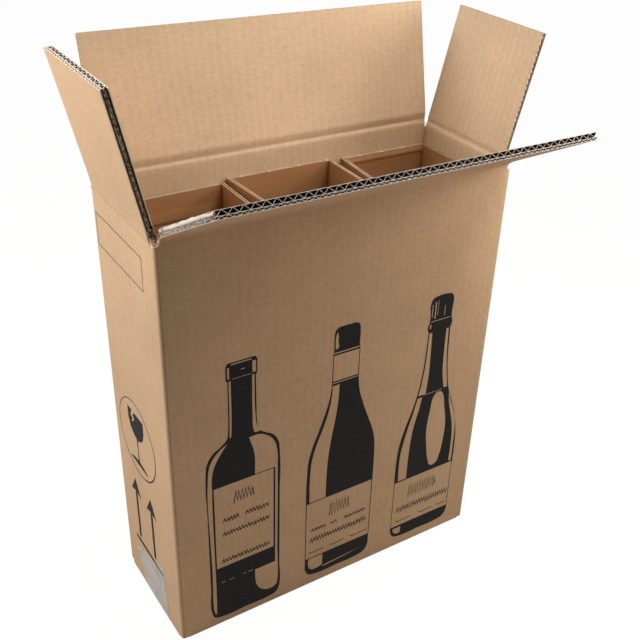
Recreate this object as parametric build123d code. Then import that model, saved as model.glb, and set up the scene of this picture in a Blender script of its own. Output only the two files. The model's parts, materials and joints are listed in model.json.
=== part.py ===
from build123d import *
import os

# Bottle shipping box, standing open: a folded carton of double wall corrugated board,
# its four top flaps, three corrugated sleeves that each hold one bottle, and the tape
# that seals the bottom. Millimetres, +Z up, the front wall faces -Y.
# The origin is the middle of the underside, on the floor.

# The carton outside and its board
carton_length = 319
carton_width = 119
board = 6.0
corner_fold_radius = 3.0
bottom_fold_radius = 3.5

# The top folds. The flaps close in the order ends, front, back, so each fold stands
# one layer above the fold of the flap that closes before it.
end_fold_height = 390.5
layer_clearance = 0.2
end_flap_length = 109.8
fold_gap = 0.3
long_flap_clearance = 0.4
end_flap_clearance = 0.6

# How far each open flap leans outward from upright, in degrees
front_lean = 61.2
back_lean = 11.8
left_lean = 12.5
right_lean = 14.1

# The corner slots between neighbouring flaps; the front flap is cut a little longer
# than the back flap, so its slots are narrower
front_flap_inset = 4.6
top_slot_depth = 0.4
bottom_slot_height = 3.0
slot_radius = 2.6

# Corrugation of the double wall board: three flat papers, a tall wave on the inside
# and a low wave on the outside
paper_thickness = 0.35
tall_wave_share = 0.67
tall_wave_pitch = 7.2
low_wave_pitch = 4.85
side_channel_depth = 2.2
crushed_length = 9.0

# The glued lap of the carton, crushed flat on the inside of the back wall
lap_width = 30.5
lap_thickness = 2.4
lap_top_clearance = 0.6
raw_edge_inset = 0.8

# The closed bottom: the end flaps are folded in first, the long flaps meet below them
bottom_end_flap = 118
bottom_seam = 0.4
end_fold_lift = 1.2

# The tape along the bottom seam and up both end walls
tape_thickness = 0.2
tape_width = 50
tape_offset = -7
tape_end_height = 46
tape_low_corner = 38
tape_high_corner = 59
tape_back_flare = 20
tape_front_flare = -6.5

# The bottle sleeves
sleeve_board = 3.0
sleeve_clearance = 0.4
sleeve_top = 376.0
sleeve_edge_depth = 2.0
left_sleeve_share = 0.3315
middle_sleeve_share = 0.325
right_sleeve_share = 0.3178
middle_sleeve_lean = 6.5
right_sleeve_lean = 7.0
middle_sleeve_rise = 3.0
right_sleeve_rise = 1.5
left_sleeve_setback = 0.6

# A tool that must pass right through runs over by this much
overrun = 1.0

half_length = carton_length / 2
half_width = carton_width / 2
long_flap_inset = board + long_flap_clearance
end_flap_inset = board + end_flap_clearance
front_fold_height = end_fold_height + board + layer_clearance
back_fold_height = front_fold_height + board + layer_clearance
top_slot_height = end_fold_height - top_slot_depth
trim_height = end_fold_height + end_flap_length
end_layer_bottom = board + layer_clearance
floor_height = end_layer_bottom + board

# Each wall and its flap: where the fold starts, which way the wall is turned about Z,
# how long the fold is and how far the flap leans
long_fold = carton_length - 2 * long_flap_inset
front_fold = carton_length - 2 * front_flap_inset
end_fold = carton_width - 2 * end_flap_inset
front_side = ((front_flap_inset - half_length, -half_width, front_fold_height), 0, front_fold, front_lean)
back_side = ((half_length - long_flap_inset, half_width, back_fold_height), 180, long_fold, back_lean)
left_side = ((-half_length, half_width - end_flap_inset, end_fold_height), -90, end_fold, left_lean)
right_side = ((half_length, end_flap_inset - half_width, end_fold_height), 90, end_fold, right_lean)


def place(shape, side, lean):
    """Carry a shape from wall coordinates (X along the fold, Y inward, Z up) to its side."""
    corner, turn, _, _ = side
    return Location(corner) * Rot(0, 0, turn) * Rot(lean, 0, 0) * shape


def side_profile(points, width):
    """Extrude a profile of (inward, up) points by a width along the fold."""
    profile = Plane.YZ * Polygon(*points, align=None)
    return extrude(profile, amount=width, dir=(1, 0, 0))


def wave_voids(wall_width, inner_start, wave_height, pitch):
    """Triangular hollows that one wave of a corrugated board leaves, as (along, inward) points."""
    slope = wave_height / (pitch / 2)
    leg = (wave_height**2 + (pitch / 2) ** 2) ** 0.5
    half_base = pitch / 2 - paper_thickness * leg / (2 * wave_height)
    hollow_height = half_base * slope
    edge_margin = side_channel_depth + paper_thickness
    count = int((wall_width - 2 * edge_margin) / (pitch / 2)) - 1
    first = (wall_width - (count - 1) * pitch / 2) / 2
    inner_end = inner_start + wave_height
    voids = []
    for index in range(count):
        middle = first + index * pitch / 2
        base, tip = inner_start, inner_start + hollow_height
        if index % 2:
            base, tip = inner_end, inner_end - hollow_height
        voids.append([(middle - half_base, base), (middle + half_base, base), (middle, tip)])
    return voids


def wave_layers():
    """Where the low outer wave and the tall inner wave start in the board, and how high they are."""
    wave_space = board - 3 * paper_thickness
    tall_wave = wave_space * tall_wave_share
    low_wave = wave_space - tall_wave
    return (paper_thickness, low_wave), (2 * paper_thickness + low_wave, tall_wave)


def double_wall_voids(wall_width):
    """Hollows of the double wall board, the low wave outside and the tall wave inside."""
    (low_start, low_wave), (tall_start, tall_wave) = wave_layers()
    outer = wave_voids(wall_width, low_start, low_wave, low_wave_pitch)
    inner = wave_voids(wall_width, tall_start, tall_wave, tall_wave_pitch)
    return outer + inner


def cut_board_outline(width):
    """Outline of the board's section, each wave cut open along both side edges."""
    near, far = [], []
    for start, wave in wave_layers():
        end = start + wave
        near += [(0, start), (side_channel_depth, start), (side_channel_depth, end), (0, end)]
        far += [(width, start), (width - side_channel_depth, start)]
        far += [(width - side_channel_depth, end), (width, end)]
    return [(0, 0)] + near + [(0, board), (width, board)] + far[::-1] + [(width, 0)]


def closed_wire(points):
    """A closed wire through (x, y) points."""
    return Wire.make_polygon([Vector(x, y) for x, y in points], close=True)


def flap(side):
    """A top flap: mitred at its fold, crushed solid next to it, corrugated to its free edge."""
    (_, _, fold_height), _, width, lean = side
    flap_length = trim_height - fold_height
    low = fold_gap / 2
    root_top = low + board + crushed_length
    root = side_profile([(0, low), (board, low + board), (board, root_top), (0, root_top)], width)
    outline = closed_wire(cut_board_outline(width))
    hollows = [closed_wire(points) for points in double_wall_voids(width)]
    section = Pos(0, 0, root_top) * Face(outline, hollows)
    panel = extrude(section, amount=flap_length - root_top, dir=(0, 0, 1))
    return place(root + panel, side, lean)


def fold_cut(side):
    """What is cut from a wall's top so that its flap can fold inward to level."""
    _, _, width, _ = side
    high = trim_height
    low = -fold_gap / 2
    inner = board + overrun
    points = [(-overrun, low), (0, low), (inner, low - inner), (inner, high), (-overrun, high)]
    return place(side_profile(points, width), side, 0)


def wall_section():
    """Plan of the four walls with the glued lap, its fold and the raw edge at the back left."""
    lap_face = half_width - board
    raw_end = raw_edge_inset + corner_fold_radius
    outline = RectangleRounded(carton_length, carton_width, corner_fold_radius)
    back_left = Pos(-half_length, lap_face) * Rectangle(raw_end, board, align=(Align.MIN, Align.MIN))
    outline -= back_left
    fold_corner = outline.vertices().sort_by_distance((-half_length, lap_face))[0]
    outline = fillet(fold_corner, corner_fold_radius)
    raw_edge = Pos(raw_edge_inset - half_length, lap_face) * Rectangle(
        corner_fold_radius, board, align=(Align.MIN, Align.MIN)
    )
    cavity = Rectangle(carton_length - 2 * board, carton_width - 2 * board)
    lap = Pos(board - half_length, lap_face) * Rectangle(
        lap_width, lap_thickness, align=(Align.MIN, Align.MAX)
    )
    return outline + raw_edge - (cavity - lap)


def corner_slots():
    """The rounded slots that part the flaps at the four top corners."""
    depth = trim_height - top_slot_height
    across = RectangleRounded(2 * end_flap_inset, 2 * depth, slot_radius)
    slots = []
    for y, inset in ((-half_width, front_flap_inset), (half_width, long_flap_inset)):
        along = RectangleRounded(2 * inset, 2 * depth, slot_radius)
        seen_from_front = extrude(Plane.XZ * along, amount=end_flap_inset, both=True)
        seen_from_end = extrude(Plane.YZ * across, amount=inset, both=True)
        slot = seen_from_front & seen_from_end
        slots += [Pos(x, y, trim_height) * slot for x in (-half_length, half_length)]
    return slots


def bottom_long_flap():
    """The front bottom flap with the foot of its wall, folded at a round edge."""
    wall_foot = Pos(0, -half_width, 0) * Box(
        long_fold, board, board + bottom_fold_radius, align=(Align.CENTER, Align.MIN, Align.MIN)
    )
    leaf = Pos(0, -half_width, 0) * Box(
        long_fold, half_width - bottom_seam / 2, board, align=(Align.CENTER, Align.MIN, Align.MIN)
    )
    folded = wall_foot + leaf
    edge = folded.edges().filter_by(Axis.X).sort_by_distance((0, -half_width, 0))[0]
    return fillet(edge, bottom_fold_radius)


def bottom_end_leaf():
    """The left bottom flap, lifted over the long flaps, with the foot of its wall."""
    lift = end_layer_bottom - end_fold_lift
    wall_top = floor_height + board
    points = [
        (0, wall_top),
        (0, end_fold_lift),
        (lift, end_layer_bottom),
        (bottom_end_flap, end_layer_bottom),
        (bottom_end_flap, floor_height),
        (board, floor_height),
        (board, wall_top),
    ]
    leaf = side_profile(points, end_fold)
    corner = Location((-half_length, half_width - end_flap_inset, 0))
    return corner * Rot(0, 0, -90) * leaf


def carton_body():
    """Walls, glued lap and closed bottom, which are one folded sheet."""
    walls = Pos(0, 0, bottom_slot_height) * extrude(
        wall_section(), amount=back_fold_height - bottom_slot_height
    )
    for side in (front_side, back_side, left_side, right_side):
        walls -= fold_cut(side)
    walls -= corner_slots()
    lap_top = end_fold_height - board - lap_top_clearance
    walls -= Pos(board - half_length, half_width - board, lap_top) * Box(
        lap_width, lap_thickness, trim_height - lap_top, align=(Align.MIN, Align.MAX, Align.MIN)
    )
    front_flap = bottom_long_flap()
    end_flap = bottom_end_leaf()
    folded = walls + [front_flap, mirror(front_flap, about=Plane.XZ)]
    folded += [end_flap, mirror(end_flap, about=Plane.YZ)]
    tape_bed = Pos(0, tape_offset, 0) * Box(
        carton_length, tape_width, tape_thickness, align=(Align.CENTER, Align.CENTER, Align.MIN)
    )
    return folded - tape_bed


def tape_riser():
    """The tape's profile where it leaves the long flaps and climbs to the left wall's fold."""
    wall = -half_length
    points = [
        (wall + long_flap_inset, 0),
        (wall - tape_thickness, end_fold_lift),
        (wall - tape_thickness, end_fold_lift + tape_thickness),
        (wall, end_fold_lift + tape_thickness),
        (wall, end_fold_lift),
        (wall + long_flap_inset, tape_thickness),
    ]
    profile = Plane.XZ * Polygon(*points, align=None)
    return Pos(0, tape_offset, 0) * extrude(profile, amount=tape_width / 2, both=True)


def sealing_tape():
    """One strip of tape: along the seam, over both bottom folds and up the end walls."""
    strip = Pos(0, tape_offset, 0) * Box(
        long_fold, tape_width, tape_thickness, align=(Align.CENTER, Align.CENTER, Align.MIN)
    )
    riser = tape_riser()
    front_edge = tape_offset - tape_width / 2
    back_edge = tape_offset + tape_width / 2
    low = end_fold_lift + tape_thickness
    left_points = [
        (front_edge, low),
        (front_edge - tape_front_flare, tape_high_corner),
        (back_edge + tape_back_flare, tape_low_corner),
        (back_edge, low),
    ]
    left_face = Plane.YZ * Polygon(*left_points, align=None)
    left_end = extrude(left_face, amount=tape_thickness, dir=(-1, 0, 0))
    right_points = [
        (front_edge, low),
        (front_edge, tape_end_height),
        (back_edge, tape_end_height),
        (back_edge, low),
    ]
    right_face = Plane.YZ * Polygon(*right_points, align=None)
    right_end = extrude(right_face, amount=tape_thickness, dir=(1, 0, 0))
    ends = [Pos(-half_length, 0, 0) * left_end, Pos(half_length, 0, 0) * right_end]
    return strip + [riser, mirror(riser, about=Plane.YZ)] + ends


def sleeve(corners, top):
    """A bottle sleeve: board bent round four corners, its level waves open along the top edge."""
    outer = Polygon(*corners, align=None)
    inner = offset(outer, amount=-sleeve_board, kind=Kind.INTERSECTION)
    wave_outer = offset(outer, amount=-paper_thickness, kind=Kind.INTERSECTION)
    wave_inner = offset(outer, amount=paper_thickness - sleeve_board, kind=Kind.INTERSECTION)
    wall = Pos(0, 0, floor_height) * extrude(outer - inner, amount=top - floor_height, dir=(0, 0, 1))
    wave_room = extrude(wave_outer - wave_inner, amount=sleeve_edge_depth, dir=(0, 0, 1))
    return wall - Pos(0, 0, top - sleeve_edge_depth) * wave_room


def sleeve_plans():
    """Outer corners of the three sleeves, front left first, as they stand in the carton."""
    front = board + sleeve_clearance - half_width
    back = half_width - board - sleeve_clearance
    lap_back = back - lap_thickness
    left = board + sleeve_clearance - half_length
    right = half_length - board - sleeve_clearance
    room = right - left
    left_end = left + room * left_sleeve_share
    middle_start = left_end + sleeve_board
    middle_end = middle_start + room * middle_sleeve_share
    right_start = right - room * right_sleeve_share
    left_plan = [(left, front), (left_end, front), (left_end, back), (left, lap_back - left_sleeve_setback)]
    middle_plan = [
        (middle_start + middle_sleeve_lean, front),
        (middle_end + sleeve_clearance, front),
        (middle_end, back),
        (middle_start, back),
    ]
    right_plan = [
        (right_start, front),
        (right, front),
        (right, back),
        (right_start + right_sleeve_lean, back),
    ]
    return left_plan, middle_plan, right_plan


def all_parts():
    """Every node of the box by its name."""
    left_plan, middle_plan, right_plan = sleeve_plans()
    return {
        "carton_body": carton_body(),
        "front_flap": flap(front_side),
        "back_flap": flap(back_side),
        "left_flap": flap(left_side),
        "right_flap": flap(right_side),
        "left_sleeve": sleeve(left_plan, sleeve_top),
        "middle_sleeve": sleeve(middle_plan, sleeve_top + middle_sleeve_rise),
        "right_sleeve": sleeve(right_plan, sleeve_top + right_sleeve_rise),
        "sealing_tape": sealing_tape(),
    }


os.makedirs("parts", exist_ok=True)
for name, shape in all_parts().items():
    export_step(shape, os.path.join("parts", name + ".step"))
    print(name, round(shape.volume), [round(value, 1) for value in shape.bounding_box().size])
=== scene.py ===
import json
import math
import random

import bpy
from mathutils import Matrix, Vector

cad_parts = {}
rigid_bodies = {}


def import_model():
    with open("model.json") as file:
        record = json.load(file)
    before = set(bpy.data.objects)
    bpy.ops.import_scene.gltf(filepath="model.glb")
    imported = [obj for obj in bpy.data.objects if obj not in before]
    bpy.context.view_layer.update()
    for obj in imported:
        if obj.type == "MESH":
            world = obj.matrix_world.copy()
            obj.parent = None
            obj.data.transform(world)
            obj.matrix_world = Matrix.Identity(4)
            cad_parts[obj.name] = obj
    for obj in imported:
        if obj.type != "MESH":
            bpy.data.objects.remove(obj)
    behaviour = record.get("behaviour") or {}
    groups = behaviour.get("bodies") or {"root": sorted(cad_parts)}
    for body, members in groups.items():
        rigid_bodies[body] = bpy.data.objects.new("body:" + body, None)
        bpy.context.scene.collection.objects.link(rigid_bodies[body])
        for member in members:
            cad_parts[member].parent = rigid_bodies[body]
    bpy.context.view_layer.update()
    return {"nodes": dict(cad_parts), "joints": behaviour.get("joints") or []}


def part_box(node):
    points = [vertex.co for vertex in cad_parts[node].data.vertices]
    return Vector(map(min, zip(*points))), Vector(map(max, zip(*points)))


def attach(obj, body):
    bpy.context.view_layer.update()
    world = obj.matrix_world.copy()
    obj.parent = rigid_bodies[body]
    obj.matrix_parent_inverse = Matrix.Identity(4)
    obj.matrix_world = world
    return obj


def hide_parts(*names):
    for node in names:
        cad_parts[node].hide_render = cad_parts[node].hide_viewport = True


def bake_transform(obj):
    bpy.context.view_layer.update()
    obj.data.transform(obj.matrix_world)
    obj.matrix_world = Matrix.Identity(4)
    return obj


bl_info = {
    "name": "Bottle Shipping Box",
    "version": (1, 0, 0),
    "blender": (4, 5, 0),
    "location": "View3D > Sidebar > Shipping Box",
    "description": "Dresses the open bottle carton with corrugated flaps, folds, sleeves and print",
    "category": "Object",
}

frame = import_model()
MM = 0.001
CARTON_LOW, CARTON_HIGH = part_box("carton_body")
FOLDS = {joint["child"]: joint for joint in frame["joints"]}
TURNS = {"front_flap": 0, "back_flap": 180, "left_flap": -90, "right_flap": 90}
STRAIGHT_UP = 90
TALL_PITCH = 7.2 * MM
PAPER_ROWS = 6
# Where the waves and the middle paper begin above the fold.
WAVE_START = 10 * MM
# One tooth of the right flap's ragged inner paper.
TOOTH = 2.2 * MM
# How far the waves stay back from a flap's first and last side cut, in mm.
SIDE_RECESS = {
    "front_flap": (0.3, 0.1),
    "back_flap": (0.3, 4.4),
    "left_flap": (1.0, 1.0),
    "right_flap": (4.4, 1.0),
}
# The side cut, first or last, along which the papers are crushed together.
PINCHED = {"right_flap": 0, "back_flap": 1}
# Strips of squashed waves along a side cut: name, place across from the first cut or, below
# zero, from the last one, depths in the board, material and raggedness, in mm.
# Their dark fibres are painted shade of the board's open waves, and the dark line is a painted shade line.
CRUSHED = {
    "front_flap": (
        ("left_side", 0.4, (0.5, 5.7), "crushed_waves_and_shade", 0.9),
        ("shade_line", 0.25, (1.9, 2.9), "squashed_edge_and_shade", 0.9),
    ),
    "left_flap": (("near_side", -0.8, (2.0, 4.2), "squashed_edge_and_shade", 1.5),),
    "right_flap": (("near_side", 1.6, (3.0, 5.6), "squashed_edge_and_shade", 0.9),),
}
SLEEVES = ("left_sleeve", "middle_sleeve", "right_sleeve")
# Where a sleeve's back wall is nicked, as shares of its width.
NICKS = {
    "left_sleeve": (0.06, 0.5, 0.92),
    "middle_sleeve": (0.12, 0.38, 0.67, 0.95),
    "right_sleeve": (0.2, 0.46, 0.74),
}
# Heights of the level creases inside two of the sleeves, in mm.
CREASES = {"left_sleeve": 352.6, "right_sleeve": 371.5}


class BoardSizes(bpy.types.PropertyGroup):
    """Sizes of the double wall board."""

    thickness: bpy.props.FloatProperty(
        name="Board", description="Thickness of the carton board", default=6.0 * MM, unit="LENGTH"
    )
    paper: bpy.props.FloatProperty(
        name="Paper", description="Thickness of one flat paper", default=0.35 * MM, unit="LENGTH"
    )
    wave_paper: bpy.props.FloatProperty(
        name="Wave paper", description="Thickness of a waved paper", default=0.3 * MM, unit="LENGTH"
    )
    tall_pitch: bpy.props.FloatProperty(
        name="Tall wave", description="Pitch of the inner, tall wave", default=TALL_PITCH, unit="LENGTH"
    )
    low_pitch: bpy.props.FloatProperty(
        name="Low wave", description="Pitch of the outer, low wave", default=4.85 * MM, unit="LENGTH"
    )
    flare: bpy.props.FloatProperty(
        name="Flare", description="How much thicker the left flap's frayed edges look", default=1.7, min=1
    )
    tall_share: bpy.props.FloatProperty(
        name="Tall share", description="The tall wave's share of the room between papers",
        default=0.67, subtype="FACTOR",
    )


class FoldSizes(bpy.types.PropertyGroup):
    """Sizes of the creased folds at the top."""

    bead: bpy.props.FloatProperty(
        name="Bead", description="How far the end walls' creases bulge outward", default=0.7 * MM,
        unit="LENGTH",
    )
    groove: bpy.props.FloatProperty(
        name="Groove", description="Depth of the creases on the inside", default=1.0 * MM, unit="LENGTH"
    )
    slot_rise: bpy.props.FloatProperty(
        name="Slot bottom", description="Height of the corner slots' bottoms", default=390.1 * MM,
        unit="LENGTH",
    )


class SleeveSizes(bpy.types.PropertyGroup):
    """Sizes of the bottle sleeves' board."""

    board: bpy.props.FloatProperty(
        name="Board", description="Thickness of a sleeve's board", default=3.0 * MM, unit="LENGTH"
    )
    paper: bpy.props.FloatProperty(
        name="Paper", description="Thickness of a sleeve's flat paper", default=0.45 * MM, unit="LENGTH"
    )
    channel: bpy.props.FloatProperty(
        name="Channel", description="Depth of the open wave along the top edge", default=2.0 * MM,
        unit="LENGTH",
    )
    recess: bpy.props.FloatProperty(
        name="Recess", description="How far the ragged papers stay below the edge", default=0.1 * MM,
        unit="LENGTH",
    )


class PrintSizes(bpy.types.PropertyGroup):
    """Sizes of the printed figures."""

    lift: bpy.props.FloatProperty(
        name="Lift", description="How far the ink lies off the paper", default=0.06 * MM, unit="LENGTH"
    )
    pen: bpy.props.FloatProperty(
        name="Pen", description="Width of the scribbled lines", default=0.95 * MM, unit="LENGTH"
    )


class PaperColours(bpy.types.PropertyGroup):
    """Colours of the papers, ink and tape."""

    liner: bpy.props.FloatVectorProperty(
        name="Liner", description="Kraft paper of the carton", subtype="COLOR", size=3,
        default=(0.60, 0.40, 0.242),
    )
    inside: bpy.props.FloatVectorProperty(
        name="Inside", description="Kraft paper on the carton's inside", subtype="COLOR", size=3,
        default=(0.60, 0.435, 0.28),
    )
    sleeve: bpy.props.FloatVectorProperty(
        name="Sleeve", description="Kraft paper of the sleeves", subtype="COLOR", size=3,
        default=(0.39, 0.195, 0.08),
    )
    wave: bpy.props.FloatVectorProperty(
        name="Wave", description="Waved paper inside the board", subtype="COLOR", size=3,
        default=(0.20, 0.12, 0.072),
    )
    cut: bpy.props.FloatVectorProperty(
        name="Cut edge", description="Paper where it is cut or torn", subtype="COLOR", size=3,
        default=(0.78, 0.72, 0.64),
    )
    ink: bpy.props.FloatVectorProperty(
        name="Ink", description="Printing ink", subtype="COLOR", size=3, default=(0.011, 0.011, 0.010)
    )
    tape: bpy.props.FloatVectorProperty(
        name="Tape", description="Tape film", subtype="COLOR", size=3, default=(0.50, 0.445, 0.40)
    )


class StageSettings(bpy.types.PropertyGroup):
    """Camera, lamps and floor."""

    azimuth: bpy.props.FloatProperty(
        name="Azimuth", description="Camera turn", default=math.radians(-35.887), subtype="ANGLE"
    )
    elevation: bpy.props.FloatProperty(
        name="Elevation", description="Camera height angle", default=math.radians(32.26), subtype="ANGLE"
    )
    roll: bpy.props.FloatProperty(
        name="Roll", description="Camera roll", default=math.radians(3.662), subtype="ANGLE"
    )
    distance: bpy.props.FloatProperty(
        name="Distance", description="Camera to target", default=893.518 * MM, unit="LENGTH"
    )
    target: bpy.props.FloatVectorProperty(
        name="Target", description="Point the camera looks at", size=3, subtype="TRANSLATION",
        default=(75.169 * MM, 14.117 * MM, 197.5 * MM),
    )
    lens: bpy.props.FloatProperty(
        name="Lens", description="Focal length on a 36 mm sensor", default=52.374, min=1
    )
    shift: bpy.props.FloatVectorProperty(
        name="Shift", description="Lens shift that frames the photograph", size=2,
        default=(-0.0728, 0.0440),
    )
    left_lamp: bpy.props.FloatProperty(
        name="Left lamp", description="Power of the lamp above the left end", default=8.9, unit="POWER"
    )
    top_lamp: bpy.props.FloatProperty(
        name="Top lamp", description="Power of the soft lamp above", default=9.2, unit="POWER"
    )
    right_lamp: bpy.props.FloatProperty(
        name="Right lamp", description="Power of the lamp at the front right", default=1.9, unit="POWER"
    )
    near_lamp: bpy.props.FloatProperty(
        name="Near lamp", description="Power of the small lamp by the front's right end", default=0.5,
        unit="POWER",
    )
    fill: bpy.props.FloatProperty(name="Fill", description="Strength of the room's light", default=0.0)


def colour(values):
    """A node colour with full opacity."""
    return (values[0], values[1], values[2], 1.0)


def new_material(name):
    """An empty node material and its tree."""
    material = bpy.data.materials.new(name)
    material.use_nodes = True
    tree = material.node_tree
    tree.nodes.clear()
    output = tree.nodes.new("ShaderNodeOutputMaterial")
    shader = tree.nodes.new("ShaderNodeBsdfPrincipled")
    tree.links.new(shader.outputs["BSDF"], output.inputs["Surface"])
    return material, tree, shader


def feed(tree, socket, value):
    """Links another node's output to a socket, or sets the socket's own value."""
    if hasattr(value, "is_output"):
        tree.links.new(value, socket)
    else:
        socket.default_value = value


def math_node(tree, operation, first, second=None):
    """A Math node fed by a socket or number on each side."""
    node = tree.nodes.new("ShaderNodeMath")
    node.operation = operation
    for index, value in enumerate((first, second)):
        if value is not None:
            feed(tree, node.inputs[index], value)
    return node.outputs[0]


def noise_node(tree, vector, scale, detail, stretch=(1, 1, 1)):
    """A noise pattern on object coordinates, stretched along the axes."""
    mapping = tree.nodes.new("ShaderNodeMapping")
    mapping.inputs["Scale"].default_value = stretch
    tree.links.new(vector, mapping.inputs["Vector"])
    noise = tree.nodes.new("ShaderNodeTexNoise")
    noise.inputs["Scale"].default_value = scale
    noise.inputs["Detail"].default_value = detail
    tree.links.new(mapping.outputs["Vector"], noise.inputs["Vector"])
    return noise.outputs["Fac"]


def ramp_node(tree, factor, stops):
    """A colour ramp through (position, grey or colour) stops."""
    ramp = tree.nodes.new("ShaderNodeValToRGB")
    elements = ramp.color_ramp.elements
    while len(elements) < len(stops):
        elements.new(0.5)
    for element, (position, shade) in zip(elements, stops):
        element.position = position
        element.color = colour(shade if isinstance(shade, tuple) else (shade, shade, shade))
    tree.links.new(factor, ramp.inputs["Fac"])
    return ramp.outputs["Color"]


def mix_colours(tree, blend, factor, first, second):
    """A colour Mix node; each input is a socket, a number or a colour."""
    mix = tree.nodes.new("ShaderNodeMix")
    mix.data_type = "RGBA"
    mix.blend_type = blend
    for socket, value in (("Factor", factor), ("A", first), ("B", second)):
        feed(tree, mix.inputs[socket], value)
    return mix.outputs["Result"]


def set_surface(tree, shader, tone, roughness, gloss):
    """Gives a surface its colour pattern, roughness and gloss."""
    tree.links.new(tone, shader.inputs["Base Color"])
    shader.inputs["Roughness"].default_value = roughness
    shader.inputs["Specular IOR Level"].default_value = gloss


def add_bump(tree, shader, height, strength, distance):
    """Lets a pattern raise and lower a surface."""
    bump = tree.nodes.new("ShaderNodeBump")
    bump.inputs["Strength"].default_value = strength
    bump.inputs["Distance"].default_value = distance
    tree.links.new(height, bump.inputs["Height"])
    tree.links.new(bump.outputs["Normal"], shader.inputs["Normal"])


def object_place(tree):
    """The place on the object, which the patterns read."""
    return tree.nodes.new("ShaderNodeTexCoord").outputs["Object"]


def board_stripes(tree, coordinates, washboard):
    """Faint upright stripes along every wall over the board's waves: washboard ripples, which the kraft bumps
    and also paints into its tone as light and shade.
    """
    place = coordinates.outputs["Object"]
    axes = tree.nodes.new("ShaderNodeSeparateXYZ")
    tree.links.new(place, axes.inputs["Vector"])
    facing = tree.nodes.new("ShaderNodeSeparateXYZ")
    tree.links.new(coordinates.outputs["Normal"], facing.inputs["Vector"])
    facing_x = math_node(tree, "ABSOLUTE", facing.outputs["X"])
    facing_y = math_node(tree, "ABSOLUTE", facing.outputs["Y"])
    on_end = math_node(tree, "GREATER_THAN", facing_x, facing_y)
    along = tree.nodes.new("ShaderNodeMix")
    along.data_type = "FLOAT"
    tree.links.new(on_end, along.inputs["Factor"])
    tree.links.new(axes.outputs["X"], along.inputs["A"])
    tree.links.new(axes.outputs["Y"], along.inputs["B"])
    wander = noise_node(tree, place, 9.0, 2.0)
    drift = math_node(tree, "MULTIPLY", wander, 0.012)
    run = math_node(tree, "ADD", along.outputs["Result"], drift)
    angle = math_node(tree, "MULTIPLY", run, 2 * math.pi / TALL_PITCH)
    ripple = math_node(tree, "SINE", angle)
    patch = noise_node(tree, place, 22.0, 2.0, (1, 1, 0.35))
    strength = math_node(tree, "MULTIPLY", patch, washboard)
    return math_node(tree, "MULTIPLY", ripple, strength)


def paper_specks(tree, place):
    """One inside the few specks of the paper, zero outside them."""
    largest, rarity = 0.075, 0.86
    specks = tree.nodes.new("ShaderNodeTexVoronoi")
    specks.inputs["Scale"].default_value = 120.0
    tree.links.new(place, specks.inputs["Vector"])
    speck_size = tree.nodes.new("ShaderNodeTexWhiteNoise")
    speck_size.noise_dimensions = "3D"
    tree.links.new(specks.outputs["Position"], speck_size.inputs["Vector"])
    reach = math_node(tree, "MULTIPLY", speck_size.outputs["Value"], largest)
    inside = math_node(tree, "LESS_THAN", specks.outputs["Distance"], reach)
    chosen = math_node(tree, "GREATER_THAN", speck_size.outputs["Value"], rarity)
    return math_node(tree, "MULTIPLY", inside, chosen)


def kraft_material(name, base, washboard=0.035):
    """Kraft paper: cloudy tone, fibres, specks, and the board's washboard ripples, bumped and also painted
    into the tone as light and shade.
    """
    material, tree, shader = new_material(name)
    coordinates = tree.nodes.new("ShaderNodeTexCoord")
    place = coordinates.outputs["Object"]
    stripes = board_stripes(tree, coordinates, washboard)
    clouds = noise_node(tree, place, 14.0, 5.0)
    cloud_tone = ramp_node(tree, clouds, [(0.3, 0.93), (0.7, 1.055)])
    grain = noise_node(tree, place, 1400.0, 3.0)
    grain_tone = ramp_node(tree, grain, [(0.25, 0.86), (0.75, 1.12)])
    fibres = noise_node(tree, place, 420.0, 3.0, (0.45, 0.45, 1))
    fibre_tone = ramp_node(tree, fibres, [(0.3, 0.94), (0.7, 1.06)])
    # Painted light and shade: the tone brightens and darkens along the washboard stripes.
    ripple_light_and_shade = math_node(tree, "ADD", stripes, 1.0)
    grey = tree.nodes.new("ShaderNodeCombineColor")
    for channel in ("Red", "Green", "Blue"):
        tree.links.new(ripple_light_and_shade, grey.inputs[channel])
    tone = colour(base)
    for layer in (cloud_tone, grain_tone, fibre_tone, grey.outputs["Color"]):
        tone = mix_colours(tree, "MULTIPLY", 1.0, tone, layer)
    speck = paper_specks(tree, place)
    tone = mix_colours(tree, "MIX", speck, tone, colour([value * 0.6 for value in base]))
    set_surface(tree, shader, tone, 0.86, 0.22)
    height = math_node(tree, "MULTIPLY", stripes, 3.0)
    height = math_node(tree, "ADD", height, math_node(tree, "MULTIPLY", grain, 0.25))
    height = math_node(tree, "ADD", height, math_node(tree, "MULTIPLY", fibres, 0.2))
    add_bump(tree, shader, height, 0.35, 0.2 * MM)
    return material


def fuzzy_material(name, light, dark, scale, contrast):
    """Rough paper where the board is cut: pale fibres over darker paper."""
    material, tree, shader = new_material(name)
    fibres = noise_node(tree, object_place(tree), scale, 4.0)
    tone = ramp_node(tree, fibres, [(0.5 - contrast, tuple(dark)), (0.5 + contrast, tuple(light))])
    set_surface(tree, shader, tone, 0.95, 0.1)
    add_bump(tree, shader, fibres, 0.6, 0.3 * MM)
    return material


def ink_material(name, base):
    """Flat printing ink, a little thin where the paper's fibres take less of it."""
    material, tree, shader = new_material(name)
    fibres = noise_node(tree, object_place(tree), 900.0, 3.0)
    thin = [value + 0.012 for value in base]
    tone = ramp_node(tree, fibres, [(0.45, tuple(base)), (0.75, tuple(thin))])
    set_surface(tree, shader, tone, 0.75, 0.12)
    return material


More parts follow.
